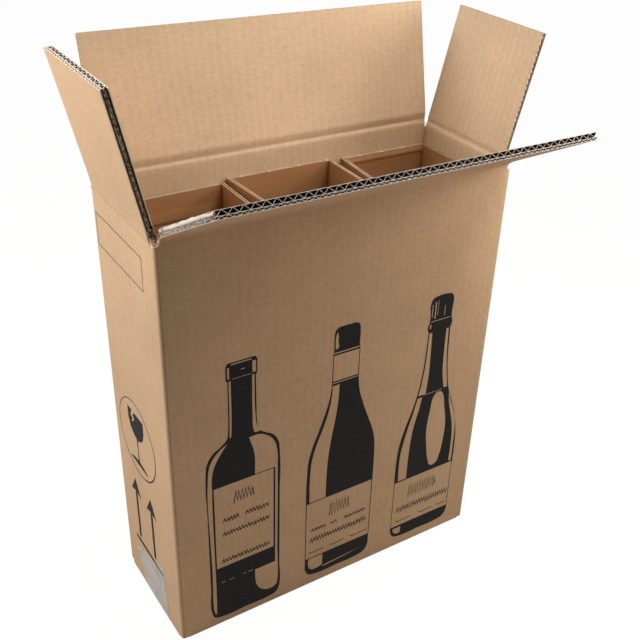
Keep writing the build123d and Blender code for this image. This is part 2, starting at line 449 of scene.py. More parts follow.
def tape_material(name, base):
    """Milky tape film: where it sticks better, the brown paper shows through."""
    material, tree, shader = new_material(name)
    place = object_place(tree)
    clouds = noise_node(tree, place, 90.0, 4.0)
    stuck = (base[0] * 0.94, base[1] * 0.86, base[2] * 0.78)
    tone = ramp_node(tree, clouds, [(0.36, stuck), (0.56, tuple(base))])
    streaks = noise_node(tree, place, 210.0, 3.0, (1, 1, 0.45))
    shade = ramp_node(tree, streaks, [(0.36, (0.76, 0.79, 0.83)), (0.45, 1.0)])
    tone = mix_colours(tree, "MULTIPLY", 1.0, tone, shade)
    set_surface(tree, shader, tone, 0.45, 0.15)
    add_bump(tree, shader, clouds, 0.25, 0.2 * MM)
    return material


def deselect():
    """Nothing is left selected."""
    bpy.ops.object.select_all(action="DESELECT")


def make_active(piece):
    """Selects one piece only."""
    deselect()
    piece.select_set(True)
    bpy.context.view_layer.objects.active = piece


def set_material(piece, *names):
    """Gives a piece the materials of these names as its slots."""
    piece.data.materials.clear()
    for name in names:
        piece.data.materials.append(bpy.data.materials[name])


def apply_place(piece):
    """Puts a piece's place, turn and scale into its mesh."""
    make_active(piece)
    bpy.ops.object.transform_apply(location=True, rotation=True, scale=True)


def apply_modifiers(piece):
    """Applies every modifier of a piece in order."""
    make_active(piece)
    for modifier in list(piece.modifiers):
        bpy.ops.object.modifier_apply(modifier=modifier.name)


def add_sheet(name, low, high, columns, rows):
    """A flat grid in the XZ plane between two corners."""
    deselect()
    bpy.ops.mesh.primitive_grid_add(
        x_subdivisions=columns, y_subdivisions=rows, size=1, rotation=(math.pi / 2, 0, 0),
        location=((low[0] + high[0]) / 2, low[1], (low[2] + high[2]) / 2),
    )
    piece = bpy.context.object
    piece.name = name
    piece.scale = (high[0] - low[0], high[2] - low[2], 1)
    apply_place(piece)
    return piece


def pick_vertices(piece, test):
    """Enters edit mode with the vertices selected that a test on their place picks."""
    make_active(piece)
    bpy.ops.object.mode_set(mode="EDIT")
    bpy.ops.mesh.select_mode(type="VERT")
    bpy.ops.mesh.select_all(action="DESELECT")
    bpy.ops.object.mode_set(mode="OBJECT")
    for vertex in piece.data.vertices:
        vertex.select = test(vertex.co)
    bpy.ops.object.mode_set(mode="EDIT")


def move_vertices(piece, test, move):
    """Moves the vertices that a test on their place picks."""
    pick_vertices(piece, test)
    bpy.ops.transform.translate(value=move)
    bpy.ops.object.mode_set(mode="OBJECT")


def join_pieces(name, pieces):
    """Joins pieces into one object."""
    deselect()
    for piece in pieces:
        piece.select_set(True)
    bpy.context.view_layer.objects.active = pieces[0]
    if len(pieces) > 1:
        bpy.ops.object.join()
    joined = bpy.context.view_layer.objects.active
    joined.name = name
    return joined


def solidify(piece, thickness, offset):
    """Gives a sheet its thickness."""
    modifier = piece.modifiers.new("Thickness", "SOLIDIFY")
    modifier.thickness = thickness
    modifier.offset = offset
    apply_modifiers(piece)


def wave_sheet(name, low, high, height, pitch, rows, paper):
    """A waved paper: a sheet whose alternate lines are pushed across the board, with rounded tips."""
    width = high[0] - low[0]
    half_waves = int(width / (pitch / 2))
    step = width / half_waves
    piece = add_sheet(name, low, high, half_waves, rows)
    tip = 0.1 * height
    move_vertices(piece, lambda place: True, (0, -tip, 0))
    crest = (0, height - paper + 2 * tip, 0)
    move_vertices(piece, lambda place: round((place.x - low[0]) / step) % 2 == 1, crest)
    edge = step / 2
    pick_vertices(piece, lambda place: low[0] + edge < place.x < high[0] - edge)
    bpy.ops.mesh.select_mode(type="EDGE")
    bpy.ops.object.mode_set(mode="OBJECT")
    for line in piece.data.edges:
        start, end = (piece.data.vertices[index].co for index in line.vertices)
        upright = abs(start.x - end.x) < edge
        line.select = upright and low[0] + edge < start.x < high[0] - edge
    bpy.ops.object.mode_set(mode="EDIT")
    bpy.ops.mesh.bevel(offset=step * 0.12, segments=2, affect="EDGES")
    bpy.ops.object.mode_set(mode="OBJECT")
    solidify(piece, paper, -1)
    return piece


def side_matrix(flap):
    """A fold's matrix from board coordinates (X along the fold, Y inward, Z up) to the row frame,
    the same with the flap's lean, and the lean."""
    joint = FOLDS[flap]
    low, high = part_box(flap)
    pivot = joint["pos_m"]
    lean = math.radians(joint["range_deg"][1] - STRAIGHT_UP)
    turn = math.radians(TURNS[flap])
    corners = {
        "front_flap": (low[0], pivot[1]),
        "back_flap": (high[0], pivot[1]),
        "left_flap": (pivot[0], high[1]),
        "right_flap": (pivot[0], low[1]),
    }
    x, y = corners[flap]
    place = Matrix.Translation((x, y, pivot[2])) @ Matrix.Rotation(turn, 4, "Z")
    return place, place @ Matrix.Rotation(lean, 4, "X"), lean


def flap_size(flap):
    """Width along the fold and length up the flap, from the CAD node."""
    _, leaning, _ = side_matrix(flap)
    back = leaning.inverted()
    places = [back @ vertex.co for vertex in frame["nodes"][flap].data.vertices]
    return max(place.x for place in places), max(place.z for place in places)


def put_in_place(piece, matrix):
    """Moves a piece from board coordinates to its place in the row frame."""
    piece.matrix_world = matrix
    apply_place(piece)


def mark_faces(piece, slot, test):
    """Faces that a test on centre and normal picks take the material of one slot."""
    for face in piece.data.polygons:
        if test(face.center, face.normal):
            face.material_index = slot


def profile_strip(name, width, profile, columns, paper, side):
    """A creased strip of paper along a fold: a grid whose rows are moved to (inward, up) places.

    Below the slots its side ends dip into the wall, so that no step shows there."""
    last = len(profile) - 1
    aside = 2
    strip = add_sheet(name, (0, 0, 0), (width, 0, 1), columns, last)
    strip.location = (0, aside, 0)
    apply_place(strip)
    for row, (inward, up) in enumerate(profile):
        height = row / last
        move_vertices(
            strip,
            lambda place: abs(place.z - height) < 0.25 / last and place.y > 0.75 * aside,
            (0, inward - aside, up - height),
        )
    margin = width / columns / 2
    slot_bottom = -4.5 * MM
    dip = -0.6 * MM * side
    move_vertices(
        strip,
        lambda place: place.z < slot_bottom and not margin < place.x < width - margin,
        (0, dip, 0),
    )
    smooth = strip.modifiers.new("Smooth", "SUBSURF")
    smooth.levels = 2
    smooth.render_levels = 2
    smooth.boundary_smooth = "PRESERVE_CORNERS"
    apply_modifiers(strip)
    roughen(strip, 14 * MM, 0.22 * MM, "Y")
    solidify(strip, paper, side)
    bpy.ops.object.shade_smooth_by_angle(angle=math.radians(35))
    return strip


def roughen(piece, grain, strength, direction="NORMAL"):
    """Pushes a piece's surface in and out by a cloudy pattern."""
    texture = bpy.data.textures.new(piece.name + "_grain", "CLOUDS")
    texture.noise_scale = grain
    texture.noise_depth = 2
    push = piece.modifiers.new("Grain", "DISPLACE")
    push.texture = texture
    push.texture_coords = "LOCAL"
    push.strength = strength
    push.mid_level = 0.5
    push.direction = direction
    apply_modifiers(piece)


def profile_block(name, points, width):
    """A solid with an outline of (inward, up) points, drawn out along the fold."""
    deselect()
    bpy.ops.mesh.primitive_circle_add(vertices=len(points), radius=1, fill_type="NGON", location=(0, 0, 0))
    piece = bpy.context.object
    piece.name = name
    starts = [vertex.co.copy() for vertex in piece.data.vertices]
    aside = 5
    for start, (inward, up) in zip(starts, points):
        move = (aside - start.x, inward - start.y, up - start.z)
        move_vertices(piece, lambda place: (place - start).length < 1e-6, move)
    pick_vertices(piece, lambda place: True)
    bpy.ops.mesh.select_mode(type="FACE")
    bpy.ops.mesh.select_all(action="SELECT")
    bpy.ops.mesh.extrude_region_move(TRANSFORM_OT_translate={"value": (width, 0, 0)})
    bpy.ops.mesh.select_all(action="SELECT")
    bpy.ops.mesh.normals_make_consistent(inside=False)
    bpy.ops.transform.translate(value=(-aside, 0, 0))
    bpy.ops.object.mode_set(mode="OBJECT")
    return piece


def torn_roll(name, path, radii, grain, strength, sides):
    """A torn paper edge: a roughened tube along a path, with a radius for each of its places."""
    data = bpy.data.curves.new(name, "CURVE")
    data.dimensions = "3D"
    data.bevel_depth = 1
    data.bevel_resolution = max(1, sides // 4)
    data.use_fill_caps = True
    data.resolution_u = 8
    spline = data.splines.new("BEZIER")
    spline.bezier_points.add(len(path) - 1)
    for point, place, radius in zip(spline.bezier_points, path, radii):
        point.co = place
        point.radius = radius
        point.handle_left_type = "AUTO"
        point.handle_right_type = "AUTO"
    roll = bpy.data.objects.new(name, data)
    bpy.context.scene.collection.objects.link(roll)
    make_active(roll)
    bpy.ops.object.convert(target="MESH")
    roll = bpy.context.object
    roughen(roll, grain, strength)
    bpy.ops.object.shade_smooth_by_angle(angle=math.radians(60))
    return roll


def serrate(sheet, edge, pitch, depth, length):
    """Cuts a saw edge: every second point along one side is pushed inward."""
    near = 0.05 * MM
    half = pitch / 2
    move_vertices(
        sheet,
        lambda place: abs(place.x - edge) < near and round((length - place.z) / half) % 2 == 1,
        (depth, 0, 0),
    )


def flat_figure(name, loops, origin, facing, lift, smooth=False):
    """A printed field: closed loops of (across, up) points in mm, filled and laid on a wall.

    A smooth loop's points with a third value are its sharp corners."""
    data = bpy.data.curves.new(name, "CURVE")
    data.dimensions = "2D"
    data.fill_mode = "BOTH"
    data.resolution_u = 6
    for loop in loops:
        spline = data.splines.new("BEZIER")
        spline.bezier_points.add(len(loop) - 1)
        for point, place in zip(spline.bezier_points, loop):
            kind = "AUTO" if smooth and len(place) == 2 else "VECTOR"
            point.co = (place[0] * MM, place[1] * MM, 0)
            point.handle_left_type = kind
            point.handle_right_type = kind
        spline.use_cyclic_u = True
    figure = bpy.data.objects.new(name, data)
    bpy.context.scene.collection.objects.link(figure)
    make_active(figure)
    bpy.ops.object.convert(target="MESH")
    figure = bpy.context.object
    across = Vector((0, 0, 1)).cross(facing)
    turn = Matrix((across, Vector((0, 0, 1)), facing)).transposed().to_4x4()
    put_in_place(figure, Matrix.Translation(Vector(origin) + facing * lift) @ turn)
    return figure


def print_figure(name, fields, origin, facing, lift):
    """A printed figure of (loops, smooth) fields, each laid a hair above the one before."""
    pieces = []
    for number, (loops, smooth) in enumerate(fields):
        step = lift * (1 + 0.02 * number)
        pieces.append(flat_figure(f"{name}_{number}", loops, origin, facing, step, smooth))
    figure = join_pieces(name, pieces)
    set_material(figure, "printing_ink")
    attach(figure, "carton")


def band(points, width):
    """The outline of a pen line of even width through (across, up) points."""
    left, right = [], []
    strokes = [(end[0] - start[0], end[1] - start[1]) for start, end in zip(points, points[1:])]
    runs = [Vector(stroke).normalized() for stroke in strokes]
    for index, (x, y) in enumerate(points):
        before, after = runs[max(index - 1, 0)], runs[min(index, len(runs) - 1)]
        run = before + after
        run = run.normalized() if run.length > 0.01 else before
        reach = width / 2 / max(abs(run.dot(before)), 0.3)
        left.append((x - run.y * reach, y + run.x * reach))
        right.append((x + run.y * reach, y - run.x * reach))
    return [left + right[::-1]]


def scribble(start, end, middle, heights, strokes, width):
    """A pen's zigzag whose swing goes from the first height to the last."""
    points = []
    for index in range(strokes + 1):
        share = index / strokes
        across = start + (end - start) * share + random.uniform(-0.2, 0.2) * (end - start) / strokes
        height = heights[0] + (heights[1] - heights[0]) * share
        swing = height / 2 * random.uniform(0.65, 1.1)
        points.append((across, middle + (swing if index % 2 else -swing)))
    return band(points, width)


def frame_lines(left, low, right, high, width):
    """A thin rectangular frame as its outer and inner loop."""
    outer = [(left, low), (right, low), (right, high), (left, high)]
    inner = [(left + width, low + width), (left + width, high - width),
             (right - width, high - width), (right - width, low + width)]
    return [outer, inner]


class CARTON_OT_materials(bpy.types.Operator):
    """Kraft paper, cut edges, ink and tape, and the CAD nodes that keep their own shape"""

    bl_idname = "carton.materials"
    bl_label = "Materials"

    def execute(self, context):
        tones = context.scene.paper_colours
        kraft_material("kraft_liner", tones.liner)
        kraft_material("kraft_inside", tones.inside, washboard=0.04)
        kraft_material("kraft_sleeve", tones.sleeve, washboard=0.0)
        fuzzy_material("wave_paper", tones.wave, [value * 0.55 for value in tones.wave], 700.0, 0.2)
        fuzzy_material("cut_paper", tones.cut, [value * 0.6 for value in tones.cut], 1500.0, 0.25)
        fuzzy_material("torn_paper", [0.84, 0.78, 0.69], [0.55, 0.47, 0.38], 1300.0, 0.2)
        # Partly painted shade: the crushed waves' pale fibres are the paper, and their near-black fibres are
        # painted shade between them.
        fuzzy_material("crushed_waves_and_shade", [0.58, 0.48, 0.38], [0.035, 0.022, 0.014], 1000.0, 0.08)
        # Painted shade: the squashed edge's near-black fibres stand for shade in the board's open waves; its
        # paler fibres are the squashed paper.
        fuzzy_material("squashed_edge_and_shade", [0.34, 0.27, 0.21], [0.05, 0.035, 0.025], 700.0, 0.14)
        fuzzy_material("sleeve_edge", [0.62, 0.50, 0.37], [0.38, 0.27, 0.17], 1300.0, 0.2)
        ink_material("printing_ink", tones.ink)
        ink_material("ink_under_tape", (0.15, 0.18, 0.22))
        tape_material("milky_tape", tones.tape)
        looks = {
            "carton_body": "kraft_liner",
            "left_sleeve": "kraft_sleeve",
            "middle_sleeve": "kraft_sleeve",
            "right_sleeve": "kraft_sleeve",
            "sealing_tape": "milky_tape",
        }
        for node, look in looks.items():
            set_material(frame["nodes"][node], look)
        return {"FINISHED"}


class CARTON_OT_top_flaps(bpy.types.Operator):
    """The four open flaps: three flat papers with a tall and a low wave between them"""

    bl_idname = "carton.top_flaps"
    bl_label = "Top Flaps"

    def execute(self, context):
        for flap in TURNS:
            self.build_flap(context.scene.board_sizes, flap)
        return {"FINISHED"}

    def build_flap(self, sizes, flap):
        """Builds a flap in board coordinates and leans it into its place."""
        width, length = flap_size(flap)
        flare = sizes.flare if flap == "left_flap" else 1
        board, paper = sizes.thickness, sizes.paper * flare
        room = board - 3 * paper
        tall = room * sizes.tall_share
        low = room - tall
        gap = 0.02 * MM
        waves = (
            ("_low", paper + gap, low - 2 * gap, sizes.low_pitch),
            ("_tall", 2 * paper + low + gap, tall - 2 * gap, sizes.tall_pitch),
        )
        sheets = self.flat_papers(flap, width, length, board, paper, low)
        fluting = self.waved_papers(flap, width, length, waves, sizes.wave_paper * flare)
        pieces = [sheets, fluting] + self.crushed_sides(flap, width, length)
        _, leaning, _ = side_matrix(flap)
        for piece in pieces:
            put_in_place(piece, leaning)
            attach(piece, flap)
        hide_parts(flap)

    def flat_papers(self, flap, width, length, board, paper, low):
        """The outer, the middle and the inner paper."""
        columns = int(width / (4 * MM))
        layers = ((0, 1.0 * MM), (paper + low, WAVE_START), (board - paper, 2 * board))
        papers = []
        for number, (depth, foot) in enumerate(layers):
            ragged = flap == "right_flap" and number == 2
            teeth = 2 * int((length - foot) / TOOTH / 2)
            sheet = add_sheet(f"{flap}_paper_{number}", (0, depth, foot), (width, depth, length), columns,
                              teeth if ragged else PAPER_ROWS)
            if ragged:
                serrate(sheet, 0, 2 * (length - foot) / teeth, 1.2 * MM, length)
            if flap in PINCHED and number < 2:
                self.pinch(sheet, flap, width, number)
            if flap == "left_flap" and number == 1:
                move_vertices(sheet, lambda place: place.x > width - MM, (-1.6 * MM, 0, 0))
            solidify(sheet, paper, -1)
            papers.append(sheet)
        sheets = join_pieces(flap + "_papers", papers)
        set_material(sheets, "kraft_liner", "cut_paper", "kraft_inside")
        mark_faces(sheets, 1, lambda centre, normal: abs(normal.y) < 0.5)
        mark_faces(sheets, 2, lambda centre, normal: normal.y > 0.5 and centre.y > board - 0.1 * MM)
        return sheets

    def waved_papers(self, flap, width, length, waves, paper):
        """The waves, from (name, depth, height, pitch) rows, pale where they are cut at the top."""
        near, far = (recess * MM for recess in SIDE_RECESS[flap])
        sheets = []
        for name, depth, height, pitch in waves:
            low, high = (near, depth, WAVE_START), (width - far, 0, length)
            sheets.append(wave_sheet(flap + name, low, high, height, pitch, PAPER_ROWS, paper))
        fluting = join_pieces(flap + "_waves", sheets)
        set_material(fluting, "wave_paper", "cut_paper")
        mark_faces(fluting, 1, lambda centre, normal: centre.z > length - 0.02 * MM)
        return fluting

    def pinch(self, sheet, flap, width, number):
        """Along the crushed side cut the outer papers bend toward the inner one."""
        edge = PINCHED[flap] * width
        inward = 1 if edge == 0 else -1
        move = (inward * (0.2 + 0.8 * number) * MM, (3 - 1.6 * number) * MM, 0)
        move_vertices(sheet, lambda place: abs(place.x - edge) < MM, move)

    def crushed_sides(self, flap, width, length):
        """The squashed waves along a flap's side cuts, and the front flap's torn first side."""
        root = 3 * MM
        heights = (root, length - 2 * MM)
        made = []
        for name, across, depths, material, swing in CRUSHED.get(flap, ()):
            edge = width if across < 0 else 0
            place = edge + across * MM
            made.append(self.side_strip(f"{flap}_{name}", place, depths, heights, material, swing))
        if flap == "front_flap":
            made.append(self.torn_side(flap, root, length))
        return made

    def torn_side(self, flap, root, length):
        """A flap's first side cut, torn to a roll of fibres that thins out toward its end."""
        steps = 14
        path, radii = [], []
        for step in range(steps):
            share = step / (steps - 1)
            wander = random.uniform(-0.25, 0.25)
            up = root + (length - 3 * MM - root) * share
            path.append(((0.8 + wander) * MM, (4.4 + wander) * MM, up))
            fullness = 0.9 + 0.7 * min(1, share * 3) - 2.2 * max(0, share - 0.8)
            radii.append(fullness * random.uniform(0.85, 1.12) * MM)
        roll = torn_roll(flap + "_torn_side", path, radii, 3.2 * MM, 0.9 * MM, 24)
        set_material(roll, "torn_paper")
        return roll

    def side_strip(self, name, across, depths, heights, material, swing):
        """A ragged strip of squashed waves that closes part of a flap's open side; its dark fibres are
        painted shade of the open waves.
        """
        near, far = (depth * MM for depth in depths)
        strip = add_sheet(name, (near, 0, heights[0]), (far, 0, heights[1]), 5, 80)
        strip.rotation_euler = (0, 0, math.pi / 2)
        strip.location = (across, 0, 0)
        apply_place(strip)
        roughen(strip, 1.6 * MM, swing * MM, "X")
        solidify(strip, 0.4 * MM, 0)
        set_material(strip, material)
        return strip


class CARTON_OT_folds(bpy.types.Operator):
    """The creased paper that runs over each top fold, outside and inside"""

    bl_idname = "carton.folds"
    bl_label = "Top Folds"

    def execute(self, context):
        folds = context.scene.fold_sizes
        board = context.scene.board_sizes
        for flap in TURNS:
            self.build_fold(folds, board, flap)
        return {"FINISHED"}

    def flap_point(self, up_flap, depth, lean):
        """Where a point of the leaning flap is, as (inward, up) from the fold's axis."""
        return (depth * math.cos(lean) - up_flap * math.sin(lean),
                up_flap * math.cos(lean) + depth * math.sin(lean))

    def outer_profile(self, flap, lean, bead):
        """The outside crease from the wall up onto the flap, in mm."""
        upper = [self.flap_point(6.5, -0.15, lean), self.flap_point(10, -0.1, lean),
                 self.flap_point(15, 0, lean), self.flap_point(20, 0.15, lean)]
        lower = [(0.15, -28), (0, -20), (-0.08, -12.5)]
        if flap == "front_flap":
            return lower + [(-0.4, -6.2), (-0.12, -4.4), (-0.3, -2.4), (-0.75, -0.9),
                            self.flap_point(2.6, -0.5, lean)] + upper
        if flap == "back_flap":
            return lower + [(-0.1, -8.5), (-0.3, -4.6), (-0.12, -3), (-0.5, -1), (-0.9, 0.3),
                            (-0.7, 2.2)] + upper
        bulge = 0 if flap == "right_flap" else bead / MM
        return [(0.15, -17.5), (0, -14), (-0.08, -11), (-0.12, -7.5), (-0.34, -5.6), (-0.1, -3.8),
                (-0.12, -1.5), (-0.45, 1.2), (-0.62 - bulge, 3.4), (-0.78 - bulge, 4.8)] + upper

    def inner_profile(self, flap, lean, groove):
        """The inside crease from the wall up onto the flap, in mm."""
        deep = groove / MM
        high = [self.flap_point(13, 6.12, lean), self.flap_point(20, 6.05, lean),
                self.flap_point(28, 5.85, lean)]
        low = [(5.85, -31), (6.02, -23), (6.1, -15)]
        if flap == "front_flap":
            return low + [(6.1, -9), (6.1, -6.4), (4.6, -4.2), (2.6, -0.2), self.flap_point(4.2, 4.4, lean),
                          self.flap_point(7.2, 6.15, lean), self.flap_point(10, 6.1, lean)] + high
        if flap == "back_flap":
            return low + [(6.12, -10), (6.12, -7.4), (5.95, -5.2), (5.9 - 0.7 * deep, -3.8),
                          (5.9 - deep, -2.6), (6.2 - deep, -1.0), (5.4, 1.2), (5.6, 3.4),
                          self.flap_point(6.5, 6.0, lean), self.flap_point(9.5, 6.1, lean)] + high
        root = self.flap_point(5.5, 6.0, lean)
        return low + [(6.1, -7), (6.1, -2), (6.0, 2.5), (root[0] + 0.9, 5.2),
                      self.flap_point(6.6, 6.1 - deep, lean), self.flap_point(9.2, 6.25, lean)] + high

    def build_fold(self, folds, board, flap):
        """A fold's outer and inner crease, which stretch between the wall and the flap."""
        place, _, lean = side_matrix(flap)
        width, _ = flap_size(flap)
        columns = int(width / (9 * MM))
        wall_edge = place @ Vector((0, board.thickness, -board.thickness))
        inward, up = self.flap_point(board.thickness, board.thickness, lean)
        flap_edge = place @ Vector((0, inward, up))
        outer_low = place @ Vector((0, 0, -1.5 * MM))
        outer_high = place @ Vector((0, 0, 1.5 * MM))
        rims = (
            ("outer", self.outer_profile(flap, lean, folds.bead), -1, outer_low, outer_high),
            ("inner", self.inner_profile(flap, lean, folds.groove), 1, wall_edge, flap_edge),
        )
        for side, profile, offset, start, end in rims:
            points = [(inward * MM, up * MM) for inward, up in profile]
            strip = profile_strip(f"{flap}_fold_{side}", width, points, columns, 0.3 * MM, offset)
            if flap in PINCHED and side == "outer":
                self.pinch_strip(strip, PINCHED[flap] * width)
            set_material(strip, "kraft_inside" if side == "inner" else "kraft_liner")
            put_in_place(strip, place)
            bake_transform(strip)
        self.fill_ends(flap, place, [rim[1] for rim in rims], width, wall_edge, flap_edge)

    def pinch_strip(self, strip, edge):
        """The crease follows the flap's pinched side: its end is pushed inward above the fold."""
        for step in range(1, 5):
            reach, above = step * MM, (4 - step) * MM
            move_vertices(
                strip,
                lambda place: abs(place.x - edge) < reach and place.z > above,
                (0, 0.8 * MM, 0),
            )

    def fill_ends(self, flap, place, profiles, width, start, end):
        """Squashed board between the two creased papers, at both ends of a fold, dark with painted shade of
        its open waves.
        """
        outer, inner = ([spot for spot in profile if -6.6 < spot[1] < 14] for profile in profiles)
        outline = [(inward + 0.45, up) for inward, up in outer]
        outline += [(inward - 0.55, up) for inward, up in inner[::-1]]
        points = [(inward * MM, up * MM) for inward, up in outline]
        pinched = PINCHED.get(flap)
        near = 5 if pinched == 0 else 0.5
        far = 8 if pinched == 1 else 3.5
        for number, across in enumerate((near * MM, width - far * MM)):
            block = profile_block(f"{flap}_fold_end_{number}", points, 3 * MM)
            set_material(block, "squashed_edge_and_shade")
            put_in_place(block, place @ Matrix.Translation((across, 0, 0)))
            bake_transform(block)


class CARTON_OT_sleeve_rims(bpy.types.Operator):
    """The sleeves' cut top edges: two ragged papers with a dark channel between them"""

    bl_idname = "carton.sleeve_rims"
    bl_label = "Sleeve Rims"

    def execute(self, context):
        sizes = context.scene.sleeve_sizes
        for sleeve in SLEEVES:
            self.dress_node(sleeve, sizes.channel)
            self.build_rim(sleeve, sizes)
            self.add_nicks(sleeve)
            if sleeve in CREASES:
                self.add_crease(sleeve, sizes.board, CREASES[sleeve] * MM)
        return {"FINISHED"}

    def back_corners(self, sleeve):
        """The sleeve's two outer back corners at the top."""
        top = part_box(sleeve)[1][2]
        places = [vertex.co for vertex in frame["nodes"][sleeve].data.vertices if vertex.co.z > top - MM]
        return (max(places, key=lambda place: place.y - place.x).copy(),
                max(places, key=lambda place: place.y + place.x).copy())

    def add_nicks(self, sleeve):
        """Small torn nicks along the back wall's top edge."""
        left, right = self.back_corners(sleeve)
        nicks = []
        for number, share in enumerate(NICKS[sleeve]):
            middle = left.lerp(right, share) + Vector((0, -1.9 * MM, 0))
            path = [middle + Vector((-1.3 * MM, 0.6 * MM, -0.4 * MM)), middle + Vector((0, 0, 0.15 * MM)),
                    middle + Vector((1.2 * MM, -0.9 * MM, -0.5 * MM))]
            radii = (0.3 * MM, 0.55 * MM, 0.3 * MM)
            nicks.append(torn_roll(f"{sleeve}_nick_{number}", path, radii, MM, 0.4 * MM, 8))
        nicks = join_pieces(sleeve + "_nicks", nicks)
        set_material(nicks, "torn_paper")
        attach(nicks, "carton")

    def add_crease(self, sleeve, board, height):
        """A level crease across the inside of the back wall."""
        left, right = self.back_corners(sleeve)
        along = (right - left).normalized()
        inward = Vector((along.y, -along.x, 0))
        start = right - along * board + inward * board
        width = (right - left).length - 2 * board
        room = min(12, (left.z - height) / MM - 0.3)
        profile = [(-0.15, -12), (0.05, -8), (0.1, -2.5), (0.15, -0.8), (0.75, 0.7), (0.65, 2.4),
                   (0.35, room * 0.6), (-0.15, room)]
        points = [(depth * MM, up * MM) for depth, up in profile]
        strip = profile_strip(sleeve + "_crease", width, points, 10, 0.2 * MM, 1)
        set_material(strip, "kraft_sleeve")
        turn = Matrix((-along, inward, Vector((0, 0, 1)))).transposed().to_4x4()
        put_in_place(strip, Matrix.Translation((start.x, start.y, height)) @ turn)
        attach(strip, "carton")

    def dress_node(self, sleeve, channel):
        """Pale cut edges on top, dark waves at the bottom of the channel."""
        node = frame["nodes"][sleeve]
        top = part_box(sleeve)[1][2]
        set_material(node, "kraft_sleeve", "sleeve_edge", "wave_paper")
        rim, floor = top - channel / 2, top - channel * 1.5
        mark_faces(node, 1, lambda centre, normal: normal.z > 0.9 and centre.z > rim)
        mark_faces(node, 2, lambda centre, normal: normal.z > 0.9 and floor < centre.z <= rim)

    def build_rim(self, sleeve, sizes):
        """Two paper walls raised from the channel's floor along both of its sides."""
        node = frame["nodes"][sleeve]
        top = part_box(sleeve)[1][2]
        floor = top - sizes.channel
        make_active(node)
        bpy.ops.object.duplicate()
        rim = bpy.context.object
        rim.name = sleeve + "_rim"
        bpy.ops.object.parent_clear(type="CLEAR_KEEP_TRANSFORM")
        apply_place(rim)
        near = 0.3 * MM
        pick_vertices(rim, lambda place: abs(place.z - floor) < near)
        bpy.ops.mesh.select_all(action="INVERT")
        bpy.ops.mesh.delete(type="VERT")
        bpy.ops.mesh.select_all(action="SELECT")
        bpy.ops.mesh.dissolve_limited(angle_limit=math.radians(5))
        bpy.ops.mesh.select_mode(type="FACE")
        bpy.ops.mesh.select_all(action="SELECT")
        bpy.ops.mesh.inset(thickness=sizes.paper, depth=0, use_boundary=True)
        bpy.ops.mesh.select_all(action="INVERT")
        rise = {"value": (0, 0, sizes.channel - sizes.recess)}
        bpy.ops.mesh.extrude_region_move(TRANSFORM_OT_translate=rise)
        bpy.ops.object.mode_set(mode="OBJECT")
        self.ripple(rim, sleeve)
        set_material(rim, "sleeve_edge")
        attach(rim, "carton")

    def ripple(self, rim, sleeve):
        """Cuts the long papers into short lengths and lets them wander."""
        low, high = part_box(sleeve)
        for axis in (0, 1):
            steps = int((high[axis] - low[axis]) / (3 * MM))
            for step in range(1, steps):
                place = [0, 0, 0]
                place[axis] = low[axis] + (high[axis] - low[axis]) * step / steps
                normal = [0, 0, 0]
                normal[axis] = 1
                pick_vertices(rim, lambda spot: True)
                bpy.ops.mesh.bisect(plane_co=place, plane_no=normal)
                bpy.ops.object.mode_set(mode="OBJECT")
        roughen(rim, 5 * MM, 0.5 * MM)


class CARTON_OT_corner_rims(bpy.types.Operator):
    """The torn paper round the slots between neighbouring flaps"""

    bl_idname = "carton.corner_rims"
    bl_label = "Corner Rims"

    def execute(self, context):
        self.dress_walls()
        rise = context.scene.fold_sizes.slot_rise
        for side, flap in ((-1, "front_flap"), (1, "back_flap")):
            low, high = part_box(flap)
            face = CARTON_LOW[1] if side < 0 else CARTON_HIGH[1]
            for end, edge in ((-1, low[0]), (1, high[0])):
                if side < 0 < end:
                    continue
                self.build_rim(side, end, face, edge, rise)
        return {"FINISHED"}

    def dress_walls(self):
        """The inside is a yellower kraft, and the slots' cut faces on the corner posts are brown."""
        node = frame["nodes"]["carton_body"]
        set_material(node, "kraft_liner", "kraft_sleeve", "kraft_inside")
        mark_faces(node, 2, lambda centre, normal: centre.x * normal.x + centre.y * normal.y < -MM)
        low = 388 * MM
        post = CARTON_HIGH[0] - 9 * MM, CARTON_HIGH[1] - 9 * MM

        def slot_cut(centre, normal):
            front_right = centre.x > 0 > centre.y
            on_post = centre.z > low and abs(centre.x) > post[0] and abs(centre.y) > post[1]
            return on_post and abs(normal.z) > 0.2 and not front_right

        mark_faces(node, 1, slot_cut)

    def build_rim(self, side, end, face, edge, rise):
        """One slot's rim: down the flap's side, round the corner's top and up again."""
        corner = CARTON_LOW[0] if end < 0 else CARTON_HIGH[0]
        out = 0.25 * MM
        inset = abs(corner - edge)
        path = [
            (edge, face - side * out, rise + 6.2 * MM),
            (edge + end * 0.5 * MM, face, rise + 2.2 * MM),
            (edge + end * inset * 0.5, face, rise + 0.2 * MM),
            (corner - end * out, face - side * out, rise),
            (corner, face - side * inset * 0.35, rise + 0.1 * MM),
            (corner, face - side * inset * 0.8, rise + 1.8 * MM),
            (corner, face - side * inset, rise + 5 * MM),
        ]
        radii = [0.3 * MM, 0.45 * MM, 0.5 * MM, 0.55 * MM, 0.5 * MM, 0.35 * MM, 0.25 * MM]
        front = "front" if side < 0 else "back"
        name = f"{'left' if end < 0 else 'right'}_{front}_slot_rim"
        rim = torn_roll(name, path, radii, 1.2 * MM, 0.55 * MM, 12)
        set_material(rim, "torn_paper" if end < 0 else "sleeve_edge")
        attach(rim, "carton")


